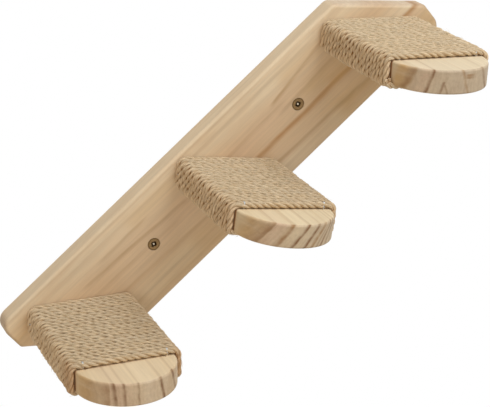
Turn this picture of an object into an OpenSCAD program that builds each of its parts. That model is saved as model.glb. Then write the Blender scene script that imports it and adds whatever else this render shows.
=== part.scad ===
// Wall-mounted cat ladder: a slanted pine backboard with three level plank steps, each wound with sisal rope.
// Sizes are in millimetres. The origin is the centre of the backboard's wall face.
// +X is right, -Y points away from the wall towards the cat, and +Z is up.

/* [Backboard] */

// Width across the board
board_w = 93; // [70:0.5:140]

// Board thickness
board_t = 18; // [12:0.5:30]

// Height between the two level end cuts
board_h = 304; // [240:1:420]

// Slant of the board, measured from level
board_angle = 45; // [30:0.5:60]

// Distance along the board from its centre to each square cut that blunts the sharp tips
tip_cut = 232.5; // [200:0.5:320]

// Corner radius where a square cut meets the long edge
tip_r = 12; // [4:0.5:20]

// Corner radius where a square cut meets a level end cut
cut_r = 4; // [3.5:0.5:10]

// Radius of the two wide-angled corners
wide_r = 8; // [4:0.5:20]

// Rounding of the front arris all round the board
arris_r = 3; // [1:0.25:3.5]

/* [Steps] */

// Width of a step plank
step_w = 85; // [60:0.5:120]

// Thickness of a step plank
step_t = 20; // [14:0.5:30]

// Length from the backboard to the tip of the round nose
step_len = 165; // [120:0.5:240]

// Rounding along the plank's edges
step_edge_r = 2; // [1:0.25:4]

// Distance between steps, measured along the board
step_pitch = 176.5; // [140:0.5:240]

// Distance of the steps from the board's centre line, towards its upper side
step_offset = 1.3; // [-3:0.1:3]

// Small turn of each step about its own length as fitted, from the bottom one up; more lifts the right side
step_turns = [5.2, -2.5, 2.3];

/* [Rope] */

// Rope diameter
rope_d = 5.8; // [4:0.1:8]

// Advance of the winding per turn, which leaves a thin gap between turns
rope_pitch = 6.3; // [5:0.05:9]

// Turns on each step
rope_turns = 20; // [10:1:24]

// Gap between the first turn and the backboard
rope_start = 1; // [0.5:0.1:5]

/* [Screws] */

// Thread diameter of the two wall screws
wall_screw_d = 6; // [4:0.5:8]

// Length of a wall screw
wall_screw_len = 50; // [35:1:80]

// Head diameter of a wall screw
wall_screw_head = 11.2; // [8:0.2:14]

// Thread diameter of the screws that hold the steps from behind
step_screw_d = 4.5; // [3.5:0.5:6]

// Length of a step screw
step_screw_len = 60; // [40:1:80]

// Head diameter of a step screw
step_screw_head = 8.8; // [7:0.2:12]

// Distance between the two screws of one step
step_screw_gap = 50; // [30:1:70]

/* [Staples] */

// Thickness of the staple wire
wire_t = 0.6; // [0.4:0.05:1]

// Width of the staple wire
wire_w = 1.2; // [0.8:0.1:2]

// Depth that the staple legs reach into the wood
leg_depth = 6; // [4:0.5:10]

// Distance from the middle of a step to each front staple
front_staple_x = 34; // [15:1:36]

/* [Hidden] */

$fn = 48;

pine = [0.87, 0.74, 0.54];
sisal = [0.76, 0.63, 0.43];
bronze = [0.45, 0.34, 0.22];
steel = [0.72, 0.73, 0.75];

head_rim = 0.3;
head_sink = 0.1;
// Plain shank under the head, as a share of the thread diameter, and how far it reaches past the board
shank_share = 0.72;
shank_past = 2;
csk_play = 0.4;
screw_play = 0.2;

// Backboard outline. Board axes: first number along the slant, second across it, upper side positive.
tip_across = (board_h / 2 - tip_cut * sin(board_angle)) / cos(board_angle);
wide_along = (board_h / 2 - board_w / 2 * cos(board_angle)) / sin(board_angle);
half_outline = [
    [[tip_cut, -board_w / 2], tip_r],
    [[tip_cut, tip_across], cut_r],
    [[wide_along, board_w / 2], wide_r]
];
outline = concat(half_outline, [for (c = half_outline) [-c[0], c[1]]]);

// Rope section and the winding's rounded rectangle, worked out from the plank
ring_sides = 6;
corner_rings = 3;
rings_per_turn = 4 * corner_rings;
corner_step = 90 / corner_rings;
rope_r = rope_d / 2;
corner_x = step_w / 2 - step_edge_r;
corner_y = step_t / 2 - step_edge_r;
bend_r = step_edge_r + rope_r;
ring_reach = bend_r / cos(corner_step / 2);
first_turn = rope_start + rope_r;
last_turn = first_turn + (rope_turns - 1) * rope_pitch;
rope_half_w = rope_r * cos(30);
// Share of the last run across the underside that the rope covers before its cut end
end_share = 0.93;

// Places along the board
step_along = [-step_pitch, 0, step_pitch];
wall_screw_along = step_pitch / 2;

// General helpers

function unit(v) = v / norm(v);

function mix(a, b, t) = a + (b - a) * t;

// Centre of the corner arc of radius r at the outline vertex v, whose neighbours are a and b
function corner_centre(a, v, b, r) =
    let (
        u = unit(a - v),
        w = unit(b - v),
        half = acos(u * w) / 2
    )
    v + unit(u + w) * r / sin(half);

module on_board(along, across = 0, turn = 0) {
    rotate([90, 0, 0])
        rotate([0, 0, board_angle])
            translate([along, across, 0])
                rotate([0, 0, turn])
                    children();
}

// Step axes: X across the plank, Y up, Z from the backboard's front face to the nose
module at_step(i) {
    on_board(step_along[i], step_offset, step_turns[i] - board_angle)
        translate([0, 0, board_t])
            children();
}

// Backboard

// A round post whose top edge is rounded over; six of them span the board
module corner_post(r) {
    rotate_extrude($fn = 40)
        polygon(concat(
            [[0, 0], [r, 0]],
            [for (a = [0:18:90]) [r - arris_r + arris_r * cos(a), board_t - arris_r + arris_r * sin(a)]],
            [[0, board_t]]
        ));
}

module board_blank() {
    count = len(outline);
    hull()
        for (i = [0:count - 1]) {
            before = outline[(i + count - 1) % count][0];
            after = outline[(i + 1) % count][0];
            translate(corner_centre(before, outline[i][0], after, outline[i][1]))
                corner_post(outline[i][1]);
        }
}

// Countersunk through hole, its face at z = 0 and its shank going down
module screw_hole(d, head) {
    top_r = head / 2 + csk_play;
    shank_r = d / 2 + screw_play;
    rotate_extrude()
        polygon([
            [0, 1], [top_r, 1], [top_r, 0],
            [shank_r, shank_r - top_r],
            [shank_r, -board_t - 1], [0, -board_t - 1]
        ]);
}

module backboard() {
    color(pine)
        difference() {
            on_board(0)
                board_blank();
            for (s = [-1, 1])
                on_board(s * wall_screw_along)
                    translate([0, 0, board_t])
                        screw_hole(wall_screw_d, wall_screw_head);
            for (i = [0:2], side = [-1, 1])
                at_step(i)
                    translate([side * step_screw_gap / 2, 0, -board_t])
                        rotate([180, 0, 0])
                            screw_hole(step_screw_d, step_screw_head);
        }
}

// Screws

// Countersunk wood screw with its face at z = 0, pointing down: head, plain shank, thread and point
module wood_screw(d, len, head) {
    r = d / 2;
    shank_r = shank_share * r;
    thread_z = -board_t - shank_past;
    head_r = head / 2;
    seat = head_sink + head_rim;
    tip = 1.6 * d;
    color(bronze)
        difference() {
            rotate_extrude()
                polygon([
                    [0, -head_sink], [head_r, -head_sink], [head_r, -seat],
                    [shank_r, -seat - head_r + shank_r],
                    [shank_r, thread_z + r - shank_r],
                    [r, thread_z], [r, -len + tip], [0.15 * d, -len], [0, -len]
                ]);
            for (a = [0, 90])
                rotate([0, 0, a])
                    translate([-0.45 * head_r, -0.09 * head, -head_sink - 0.22 * head])
                        cube([0.9 * head_r, 0.18 * head, head]);
        }
}

module wall_screw(side) {
    on_board(side * wall_screw_along)
        translate([0, 0, board_t])
            wood_screw(wall_screw_d, wall_screw_len, wall_screw_head);
}

module step_screw(i, side) {
    at_step(i)
        translate([side * step_screw_gap / 2, 0, -board_t])
            rotate([180, 0, 0])
                wood_screw(step_screw_d, step_screw_len, step_screw_head);
}

// Steps

module rounded_section(w, t, r) {
    square([w - 2 * r, t], center = true);
    square([w, t - 2 * r], center = true);
    for (x = [-1, 1], y = [-1, 1])
        translate([x * (w / 2 - r), y * (t / 2 - r)])
            circle(r);
}

module plank() {
    straight = step_len - step_w / 2;
    linear_extrude(straight)
        rounded_section(step_w, step_t, step_edge_r);
    translate([0, 0, straight])
        rotate([90, 0, 0])
            rotate_extrude(angle = 180, $fn = 96)
                intersection() {
                    rounded_section(step_w, step_t, step_edge_r);
                    translate([0, -step_t])
                        square([step_w, 2 * step_t]);
                }
}

module step_plank(i) {
    pilot = step_screw_len - board_t;
    color(pine)
        difference() {
            at_step(i)
                plank();
            at_step(i)
                for (side = [-1, 1])
                    translate([side * step_screw_gap / 2, 0, -1])
                        cylinder(h = pilot + 1, d = step_screw_d);
            front_staples(i);
            end_staples(i);
        }
}

// Rope

// Centre of ring j of one turn: the corners in the order lower left, upper left, upper right, lower right
function ring_angle(j) = 270 - corner_step / 2 - j * corner_step;

function ring_centre(j, z) =
    let (
        corner = floor(j / corner_rings),
        side_x = corner < 2 ? -1 : 1,
        side_y = (corner == 0 || corner == 3) ? -1 : 1,
        a = ring_angle(j)
    )
    [side_x * corner_x + ring_reach * cos(a), side_y * corner_y + ring_reach * sin(a), z];

// The rope starts up the left side, keeps each turn level, and gains one pitch under the plank
turn_rings = [
    for (k = [0:rope_turns - 1])
        for (j = [(k == 0 ? corner_rings : 0):rings_per_turn - 1])
            ring_centre(j, first_turn + k * rope_pitch)
];
side_x = step_w / 2 + rope_r;
under_y = -step_t / 2 - rope_r;
rope_path = concat(
    [[-side_x, -corner_y, first_turn]],
    turn_rings,
    [[mix(corner_x, -corner_x, end_share), under_y, last_turn + rope_pitch * end_share]]
);
last_ring = len(rope_path) - 1;

function direction(i) =
    i == 0 ? unit(rope_path[1] - rope_path[0])
    : i == last_ring ? unit(rope_path[i] - rope_path[i - 1])
    : unit(unit(rope_path[i] - rope_path[i - 1]) + unit(rope_path[i + 1] - rope_path[i]));

// Away from the plank at ring i, square to the rope
function outward(i) =
    let (
        p = rope_path[i],
        near = [
            max(-corner_x, min(corner_x, p[0])),
            max(-corner_y, min(corner_y, p[1])),
            p[2]
        ],
        away = p - near,
        t = direction(i)
    )
    unit(away - (away * t) * t);

rope_points = [
    for (i = [0:last_ring])
        let (
            n = outward(i),
            b = cross(direction(i), n),
            mitre = (i == 0 || i == last_ring) ? 1 : 1 / cos(corner_step / 2)
        )
        for (s = [0:ring_sides - 1])
            let (a = s * 360 / ring_sides)
            rope_path[i] + rope_r * (mitre * cos(a) * n + sin(a) * b)
];

rope_faces = concat(
    [for (s = [1:ring_sides - 2]) [0, s, s + 1]],
    [
        for (i = [0:last_ring - 1])
            for (s = [0:ring_sides - 1])
                let (
                    a = i * ring_sides + s,
                    b = i * ring_sides + (s + 1) % ring_sides
                )
                for (f = [[a, b + ring_sides, b], [a, a + ring_sides, b + ring_sides]])
                    f
    ],
    [for (s = [1:ring_sides - 2]) let (e = last_ring * ring_sides) [e, e + s + 1, e + s]]
);

module rope(i) {
    color(sisal)
        at_step(i)
            polyhedron(rope_points, rope_faces);
}

// Least gap between neighbouring turns, from points along the rope's centre line
gap_samples = 5;
rope_samples = [
    for (i = [0:last_ring - 1])
        for (s = [0:gap_samples - 1])
            mix(rope_path[i], rope_path[i + 1], s / gap_samples)
];
turn_samples = rings_per_turn * gap_samples;
least_gap = min([
    for (i = [0:len(rope_samples) - 1])
        for (k = [i + turn_samples - 2 * gap_samples:min(i + turn_samples + 2 * gap_samples, len(rope_samples) - 1)])
            norm(rope_samples[i] - rope_samples[k])
]) - rope_d;
echo(least_rope_gap_mm = least_gap);

// Staples

// A wire staple over a rope: the rope's centre is the origin, the wood is below, and the legs stand along Z
module staple() {
    leg_z = rope_half_w + 0.05;
    reach = rope_r + leg_depth;
    translate([-wire_w / 2, rope_r, -leg_z - wire_t])
        cube([wire_w, wire_t, 2 * (leg_z + wire_t)]);
    for (z = [-leg_z - wire_t, leg_z])
        translate([-wire_w / 2, -reach, z])
            cube([wire_w, reach + rope_r + wire_t, wire_t]);
}

module front_staples(i) {
    color(steel)
        at_step(i)
            for (side = [-1, 1])
                translate([side * front_staple_x, step_t / 2 + rope_r, last_turn])
                    staple();
}

// One staple holds the rope's first end on the left side, one its cut end under the plank
module end_staples(i) {
    under_share = 0.8;
    color(steel)
        at_step(i) {
            translate([-side_x, 0, first_turn])
                rotate([0, 0, 90])
                    staple();
            translate([mix(corner_x, -corner_x, under_share), under_y, last_turn + rope_pitch * under_share])
                rotate([0, 0, 180])
                    staple();
        }
}

backboard();
step_plank(0);  // bottom_step
step_plank(1);  // middle_step
step_plank(2);  // top_step
rope(0);  // bottom_rope
rope(1);  // middle_rope
rope(2);  // top_rope
step_screw(0, -1);  // bottom_step_left_screw
step_screw(0, 1);  // bottom_step_right_screw
step_screw(1, -1);  // middle_step_left_screw
step_screw(1, 1);  // middle_step_right_screw
step_screw(2, -1);  // top_step_left_screw
step_screw(2, 1);  // top_step_right_screw
wall_screw(-1);  // lower_wall_screw
wall_screw(1);  // upper_wall_screw
front_staples(0);  // bottom_front_staples
front_staples(1);  // middle_front_staples
front_staples(2);  // top_front_staples
end_staples(0);  // bottom_end_staples
end_staples(1);  // middle_end_staples
end_staples(2);  // top_end_staples
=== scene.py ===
"""Looks of a slanted wall cat ladder whose three plank steps are wound with sisal rope.

Lengths are in metres, in the row's own axes: +X right, +Y into the wall, +Z up.
They are in millimetres only where a comment says so.
"""

import math

import bpy
import numpy as np
from mathutils import Matrix, Vector


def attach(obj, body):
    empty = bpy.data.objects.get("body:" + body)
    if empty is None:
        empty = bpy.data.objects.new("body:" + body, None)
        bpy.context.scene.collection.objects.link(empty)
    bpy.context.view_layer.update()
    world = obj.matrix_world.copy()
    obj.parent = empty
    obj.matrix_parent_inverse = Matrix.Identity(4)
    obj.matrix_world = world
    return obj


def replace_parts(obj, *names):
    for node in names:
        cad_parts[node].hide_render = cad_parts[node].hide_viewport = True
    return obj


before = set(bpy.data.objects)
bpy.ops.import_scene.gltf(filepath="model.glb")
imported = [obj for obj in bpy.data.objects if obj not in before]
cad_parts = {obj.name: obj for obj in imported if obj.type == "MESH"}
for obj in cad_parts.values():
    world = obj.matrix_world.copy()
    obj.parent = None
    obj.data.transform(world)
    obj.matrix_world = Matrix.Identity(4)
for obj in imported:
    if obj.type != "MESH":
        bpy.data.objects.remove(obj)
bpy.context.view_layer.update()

# Driving sizes, the same as in the part's source
MM = 0.001
BOARD_T = 18 * MM
BOARD_ANGLE = math.radians(45)
STEP_W = 85 * MM
STEP_T = 20 * MM
STEP_EDGE_R = 2 * MM
STEP_PITCH = 176.5 * MM
STEP_OFFSET = 1.3 * MM
STEP_TURNS = [math.radians(a) for a in (5.2, -2.5, 2.3)]
STEPS = ("bottom", "middle", "top")
ROPE_D = 5.8 * MM
ROPE_PITCH = 6.3 * MM
ROPE_TURNS = 20
ROPE_START = 1 * MM
END_SHARE = 0.93
WALL_SCREW_D = 6 * MM
WALL_SCREW_LEN = 50 * MM
WALL_SCREW_HEAD = 11.2 * MM
STEP_SCREW_D = 4.5 * MM
STEP_SCREW_LEN = 60 * MM
STEP_SCREW_HEAD = 8.8 * MM
STEP_SCREW_GAP = 50 * MM
HEAD_SINK = 0.1 * MM
HEAD_RIM = 0.3 * MM
SHANK_SHARE = 0.72
SHANK_PAST = 2 * MM
LEG_DEPTH = 6 * MM

CORNER_X = STEP_W / 2 - STEP_EDGE_R
CORNER_Y = STEP_T / 2 - STEP_EDGE_R
ROPE_R = ROPE_D / 2
BEND_R = STEP_EDGE_R + ROPE_R
SIDE_X = STEP_W / 2 + ROPE_R
UNDER_Y = -STEP_T / 2 - ROPE_R
FIRST_TURN = ROPE_START + ROPE_R
LAST_TURN = FIRST_TURN + (ROPE_TURNS - 1) * ROPE_PITCH


# Places


def board_point(along, across, out):
    """A point given along the board, across it (upper side positive) and out from the wall face."""
    c, s = math.cos(BOARD_ANGLE), math.sin(BOARD_ANGLE)
    return (along * c - across * s, -out, along * s + across * c)


def step_place(step):
    return board_point((step - 1) * STEP_PITCH, STEP_OFFSET, BOARD_T)


def step_matrix(step):
    """Plank axes to the row's: X across the plank, Y up, Z out from the board's front face."""
    x, y, z = step_place(step)
    c, s = math.cos(STEP_TURNS[step]), math.sin(STEP_TURNS[step])
    return Matrix(((c, -s, 0, x), (0, 0, -1, y), (s, c, 0, z), (0, 0, 0, 1)))


def placed(points, matrix):
    """Points moved by a 4 by 4 matrix."""
    m = np.array(matrix)
    return points @ m[:3, :3].T + m[:3, 3]


def unit(v):
    return v / np.linalg.norm(v, axis=-1, keepdims=True)


# Shader nodes


def link_or_set(tree, socket, value):
    if isinstance(value, bpy.types.NodeSocket):
        tree.links.new(value, socket)
    elif socket.type == "RGBA" and len(value) == 3:
        socket.default_value = (*value, 1)
    else:
        socket.default_value = value


def set_inputs(tree, node, inputs):
    for key, value in inputs.items():
        link_or_set(tree, node.inputs[key], value)


def add_node(tree, kind, inputs=None, **values):
    """A node with its properties and inputs set. An input's value may be a socket to link from."""
    made = tree.nodes.new(kind)
    for key, value in values.items():
        setattr(made, key, value)
    set_inputs(tree, made, inputs or {})
    return made


def math_node(tree, operation, *terms, clamp=False):
    made = add_node(tree, "ShaderNodeMath", dict(enumerate(terms)), operation=operation, use_clamp=clamp)
    return made.outputs[0]


def vector_math(tree, operation, *terms):
    made = add_node(tree, "ShaderNodeVectorMath", dict(enumerate(terms)), operation=operation)
    return made.outputs["Value" if operation in ("LENGTH", "DOT_PRODUCT") else "Vector"]


def combine(tree, x, y, z):
    return add_node(tree, "ShaderNodeCombineXYZ", {0: x, 1: y, 2: z}).outputs[0]


def split(tree, vector):
    return add_node(tree, "ShaderNodeSeparateXYZ", {0: vector}).outputs


def mix_colour(tree, factor, a, b, blend="MIX"):
    made = add_node(tree, "ShaderNodeMix", {"Factor": factor}, data_type="RGBA", blend_type=blend)
    for socket, value in zip([s for s in made.inputs if s.type == "RGBA"], (a, b)):
        link_or_set(tree, socket, value)
    return next(s for s in made.outputs if s.type == "RGBA")


def tinted(tree, colour, tint):
    """The colour times a tint."""
    return mix_colour(tree, 1.0, colour, tint, "MULTIPLY")


def map_range(tree, value, low=0.0, high=1.0, to_low=0.0, to_high=1.0, smooth=False):
    made = add_node(
        tree,
        "ShaderNodeMapRange",
        {"Value": value, "From Min": low, "From Max": high, "To Min": to_low, "To Max": to_high},
        interpolation_type="SMOOTHSTEP" if smooth else "LINEAR",
    )
    return made.outputs[0]


def grey(tree, value):
    return add_node(tree, "ShaderNodeCombineColor", {0: value, 1: value, 2: value}).outputs[0]


def noise(tree, vector, detail=2.0, roughness=0.5):
    inputs = {"Vector": vector, "Scale": 1.0, "Detail": detail, "Roughness": roughness}
    return add_node(tree, "ShaderNodeTexNoise", inputs).outputs["Fac"]


def attribute(tree, name):
    return add_node(tree, "ShaderNodeAttribute", attribute_name=name).outputs["Fac"]


def bump(tree, height, strength, distance):
    inputs = {"Height": height, "Strength": strength, "Distance": distance}
    return add_node(tree, "ShaderNodeBump", inputs).outputs["Normal"]


def new_group(name, numbers, outputs):
    """An empty node group that takes a vector and named numbers, and puts out named numbers."""
    group = bpy.data.node_groups.new(name, "ShaderNodeTree")
    group.interface.new_socket("Vector", in_out="INPUT", socket_type="NodeSocketVector")
    for label in numbers:
        group.interface.new_socket(label, in_out="INPUT", socket_type="NodeSocketFloat")
    for label in outputs:
        group.interface.new_socket(label, in_out="OUTPUT", socket_type="NodeSocketFloat")
    return group, add_node(group, "NodeGroupInput").outputs, add_node(group, "NodeGroupOutput").inputs


def use_group(tree, group, inputs):
    return add_node(tree, "ShaderNodeGroup", inputs, node_tree=group).outputs


TO_MM = (1 / MM, 1 / MM, 1 / MM)
# The ragged part of a grain line: how much quicker it changes than the slow part, and its size
RAGGED_RATE = (6, 6, 6)
RAGGED_SHARE = 0.22
# Rates are waves per millimetre across, through and along the grain. This one is the cloudy patches'.
PATCH_RATE = (0.05, 0.05, 0.012)
# What a mark's row gives after its tone
MARK_INPUTS = ("Place", "Slope", "Drift", "Before", "After", "From", "To", "Fade", "Strength")


def grain_waver_group():
    """How far a grain line strays sideways from its place, as real ones do: slowly, with a ragged part."""
    group, given, made = new_group("grain_waver", ["Wander", "Across", "Through", "Along"], ["Shift"])
    spans = combine(group, given["Across"], given["Through"], given["Along"])
    slow = vector_math(group, "DIVIDE", given["Vector"], spans)
    quick = vector_math(group, "MULTIPLY", slow, RAGGED_RATE)
    ragged = math_node(group, "MULTIPLY_ADD", noise(group, quick), RAGGED_SHARE, -RAGGED_SHARE / 2)
    swing = math_node(group, "SUBTRACT", noise(group, slow, detail=1.0), 0.5)
    total = math_node(group, "ADD", swing, ragged)
    group.links.new(math_node(group, "MULTIPLY", total, given["Wander"]), made["Shift"])
    return group


def grain_mark_group():
    """One growth-ring line or band: sharp or soft on either side, and faded in and out by a window."""
    group, given, made = new_group("grain_mark", ["Window", *MARK_INPUTS, "Peak"], ["Mask"])
    x, y, z = split(group, given["Vector"])
    centre = math_node(group, "MULTIPLY_ADD", y, given["Slope"], given["Place"])
    centre = math_node(group, "MULTIPLY_ADD", z, given["Drift"], centre)
    distance = math_node(group, "SUBTRACT", x, centre)
    start_fade = math_node(group, "MULTIPLY", given["Before"], -1.0)
    rising = map_range(group, distance, start_fade, 0.0, smooth=True)
    rising = math_node(group, "POWER", rising, given["Peak"])
    falling = map_range(group, distance, 0.0, given["After"], 1.0, 0.0, smooth=True)
    start = math_node(group, "SUBTRACT", given["From"], given["Fade"])
    opened = map_range(group, given["Window"], start, given["From"], smooth=True)
    stop = math_node(group, "ADD", given["To"], given["Fade"])
    closed = map_range(group, given["Window"], given["To"], stop, 1.0, 0.0, smooth=True)
    line = math_node(group, "MULTIPLY", rising, falling)
    windowed = math_node(group, "MULTIPLY", line, math_node(group, "MULTIPLY", opened, closed))
    group.links.new(math_node(group, "MULTIPLY", windowed, given["Strength"]), made["Mask"])
    return group


def fibres_group():
    """Fine streaks along Z of the vector, from 0 to 1, and slower cloudy patches."""
    group, given, made = new_group("fibres", ["Fineness", "Length"], ["Streaks", "Patches"])
    x, y, z = split(group, given["Vector"])
    vector = combine(
        group,
        math_node(group, "MULTIPLY", x, given["Fineness"]),
        math_node(group, "MULTIPLY", y, given["Fineness"]),
        math_node(group, "DIVIDE", z, given["Length"]),
    )
    group.links.new(noise(group, vector, detail=4.0, roughness=0.6), made["Streaks"])
    slow = vector_math(group, "MULTIPLY", given["Vector"], PATCH_RATE)
    group.links.new(noise(group, slow), made["Patches"])
    return group


grain_waver = grain_waver_group()
grain_mark = grain_mark_group()
fibres = fibres_group()


def new_material(name):
    material = bpy.data.materials.new(name)
    material.use_nodes = True
    tree = material.node_tree
    tree.nodes.clear()
    shader = add_node(tree, "ShaderNodeBsdfPrincipled")
    output = add_node(tree, "ShaderNodeOutputMaterial")
    tree.links.new(shader.outputs[0], output.inputs["Surface"])
    return material, tree, shader


# Pine. A mark is (tone, place, slope, drift, before, after, from, to, fade, strength), in millimetres
# on its plank: the line stands at X = place, leans by slope with Y and by drift with Z, fades over
# before and after, and shows from and to along Z on the board, or along Y in a step's section.
TONES = {
    "ring": (0.320, 0.180, 0.090),
    "brown": (0.460, 0.275, 0.130),
    "rust": (0.520, 0.280, 0.120),
    "ochre": (0.660, 0.460, 0.235),
    "tan": (0.690, 0.460, 0.225),
    "dusk": (0.560, 0.460, 0.340),
    "pink": (0.780, 0.560, 0.390),
    "cream": (0.860, 0.725, 0.530),
}
# Lines rise to a thin dark peak, and the other tones are soft bands
LINE_TONES = ("ring", "brown")
LINE_PEAK = 1.4
ALL = 999

BOARD_MARKS = [
    # The first cream band is partly the pine's paler upper side and partly painted light on the board's
    # upper edge
    ("cream", 36, 0, 0, 24, 32, -ALL, ALL, 1, 0.72),
    ("tan", 28, 0, 0, 26, 20, -ALL, -214, 18, 0.70),
    ("cream", -4, 0, 0, 16, 16, 196, ALL, 15, 0.80),
    ("pink", 6, 0, 0.05, 16, 16, -60, 70, 60, 0.30),
    ("ochre", -30, 0, 0, 34, 18, -ALL, 10, 40, 0.50),
    ("ochre", -30, 0, 0, 34, 18, 125, ALL, 40, 0.62),
    ("brown", 43, 0, 0, 2.5, 2.0, -ALL, 60, 40, 0.20),
    ("brown", 36, 0, 0.006, 5.0, 2.4, -ALL, 110, 40, 0.22),
    ("brown", 24, 0, 0, 4.5, 2.4, -125, -85, 14, 0.36),
    ("brown", 7.1, 0, -0.059, 5.0, 2.4, -150, -44, 14, 0.40),
    ("brown", 12, 0, 0, 5.0, 2.4, 10, 70, 16, 0.30),
    ("brown", 5.8, 0, 0.169, 5.0, 2.4, 76, 150, 12, 0.55),
    ("ring", 2.5, 0, 0.046, 5.0, 2.2, 78, 150, 14, 0.30),
    ("rust", -10.5, 0, 0, 5.5, 3.6, 34, ALL, 26, 0.80),
    ("rust", -9.5, 0, 0, 3.5, 2.6, 108, 190, 22, 0.65),
    ("ochre", 2, 0, 0, 20, 18, 110, 170, 30, 0.45),
    # These three tan bands are painted soft shadows of the steps on the board
    ("tan", -8, 0, 0, 12, 11, 128, 152, 14, 0.42),
    ("tan", 28, 0, 0, 12, 13, 98, 128, 18, 0.36),
    ("tan", 32, 0, 0, 15, 12, -84, -48, 20, 0.38),
    ("cream", -30, 0, 0, 15, 16, -118, -72, 20, 0.50),
    ("cream", -37, 0, 0, 12, 14, 44, 104, 20, 0.55),
    ("brown", -17.7, 0, -0.033, 5.5, 2.4, -145, -40, 14, 0.34),
    ("brown", -27.2, 0, -0.019, 5.5, 2.6, 42, 160, 22, 0.50),
    ("brown", -30, 0, 0, 5.5, 2.4, -ALL, -30, 30, 0.20),
    ("brown", -1.5, 0, -0.03, 5.0, 2.4, -200, -70, 24, 0.24),
    ("brown", -38, 0, 0.02, 5.0, 2.4, -ALL, ALL, 1, 0.16),
]
BOTTOM_MARKS = [
    ("tan", -40, 0, 0, 8, 16, -ALL, ALL, 1, 0.85),
    ("pink", -20, -0.05, 0, 14, 20, -ALL, ALL, 1, 0.65),
    ("cream", 7, 0, 0, 8, 11, -ALL, ALL, 1, 0.45),
    ("tan", 28, 0, 0, 6, 14, -ALL, ALL, 1, 0.30),
    ("brown", -24.4, -0.02, 0, 10.0, 1.0, -ALL, ALL, 1, 0.60),
    ("ring", -19.9, -0.10, 0, 3.9, 1.7, -ALL, ALL, 1, 0.80),
    ("ring", -12.9, -0.06, 0, 2.8, 1.4, -ALL, ALL, 1, 0.80),
    ("ring", -2.1, -0.03, 0, 2.4, 1.2, -ALL, ALL, 1, 0.55),
    ("ring", 19.2, -0.22, 0, 3.0, 2.2, -ALL, ALL, 1, 1.00),
    ("ring", 32.3, -0.27, 0, 2.8, 2.0, -ALL, ALL, 1, 0.90),
]
MIDDLE_MARKS = [
    ("tan", -38, 0.30, 0, 8, 15, -ALL, ALL, 1, 0.75),
    ("pink", -24, 0.60, 0, 12, 14, -ALL, ALL, 1, 0.60),
    ("dusk", 10, 0.60, 0, 16, 30, -ALL, ALL, 1, 0.25),
    ("brown", -27.7, 0.61, 0, 10.0, 1.6, -ALL, ALL, 1, 0.75),
    ("ring", -27.7, 0.61, 0, 3.3, 1.7, -ALL, ALL, 1, 0.30),
    ("brown", -13.7, 0.60, 0, 5.5, 2.4, -ALL, ALL, 1, 0.95),
    ("ring", -1.3, 0.70, 0, 3.9, 2.0, -ALL, ALL, 1, 0.95),
    ("ring", 9.1, 0.67, 0, 3.3, 2.0, -ALL, ALL, 1, 1.00),
    ("brown", 16.2, 0.70, 0, 4.0, 2.0, -ALL, ALL, 1, 0.90),
    ("ring", 20.5, 0.62, 0, 1.8, 1.2, -ALL, ALL, 1, 0.35),
    ("ring", 24.1, 0.54, 0, 2.7, 1.4, -ALL, ALL, 1, 0.85),
    ("ring", 28.8, 0.45, 0, 2.4, 1.2, -ALL, ALL, 1, 0.65),
    ("ring", 33.5, 0.40, 0, 2.1, 1.2, -ALL, ALL, 1, 0.35),
]
TOP_MARKS = [
    ("tan", -41, 0.20, 0, 4, 9, -ALL, ALL, 1, 0.90),
    ("pink", -28, 0.30, 0, 8, 9, -ALL, ALL, 1, 0.50),
    ("dusk", 0, 0, 0, 34, 26, -ALL, ALL, 1, 0.45),
    ("brown", -35.8, 0.33, 0, 4.5, 2.4, -ALL, ALL, 1, 0.85),
    ("ring", -23.6, 0.27, 0, 3.0, 1.5, -ALL, ALL, 1, 0.85),
    ("ring", -13.7, 0.27, 0, 2.5, 1.4, -ALL, 0, 1.5, 0.80),
    ("ring", -13.6, -0.33, 0, 2.0, 1.2, -ALL, -2.5, 1.5, 0.60),
    ("brown", 4.7, -0.33, 0, 3.0, 1.8, -ALL, ALL, 1, 0.60),
    ("brown", 6.6, 0, 0, 4.0, 11.0, 5.0, 6.1, 0.8, 0.80),
    ("brown", 6.4, 0, 0, 4.0, 10.0, 3.0, 4.1, 0.8, 0.75),
    ("ring", 26.8, -0.42, 0, 3.9, 2.2, -ALL, ALL, 1, 0.85),
]
# Tints of the cloudy patches, and of the cut ends in rings that lean like the marks
PINE_PATCH = (0.95, 0.91, 0.87)
CUT_END_PALE = (0.845, 0.825, 0.835)
CUT_END_DARK = (0.755, 0.710, 0.710)
# Rates of the cut ends' faint rings, and of breaks in the marks
RING_RATE = (0.42, 0.09, 0.01)
BREAK_RATE = (0.11, 0.16, 0.03)
# A range gives what is read, low and high, and then what they become if that isn't 0 and 1
FAINT_RINGS = (0.36, 0.64)
BREAKS = (0.35, 0.62, 0.62, 1.08)
STREAKS = (0.30, 0.70, 0.93, 1.05)
HAIRLINES = (0.30, 0.70, 0.965, 1.025)
CUT_END = (0.0, 0.3)
# How squarely a face is cut across the grain where its marks reach full contrast
FULL_CONTRAST = 0.06
# How strong a step's marks are on its level faces
LEVEL_CONTRAST = 0.27
PINE_ROUGHNESS = (0.50, 0.68)
PINE_SPECULAR = 0.20
PINE_BUMP = (0.25, 0.12 * MM)
# The colour of painted shade in the gap where the rope's last turn meets the wood
CONTACT_SHADE_TONE = (0.290, 0.095, 0.018)
# Where the painted shade line under the last turn runs, as a share of the rope's radius past its middle
CONTACT_PLACE = 0.60
# How far it reaches in millimetres, and how strong it is, on the level faces and on the flanks
CONTACT_REACH = (1.4, 2.3)
CONTACT_STRENGTH = (0.30, 0.95)


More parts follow.
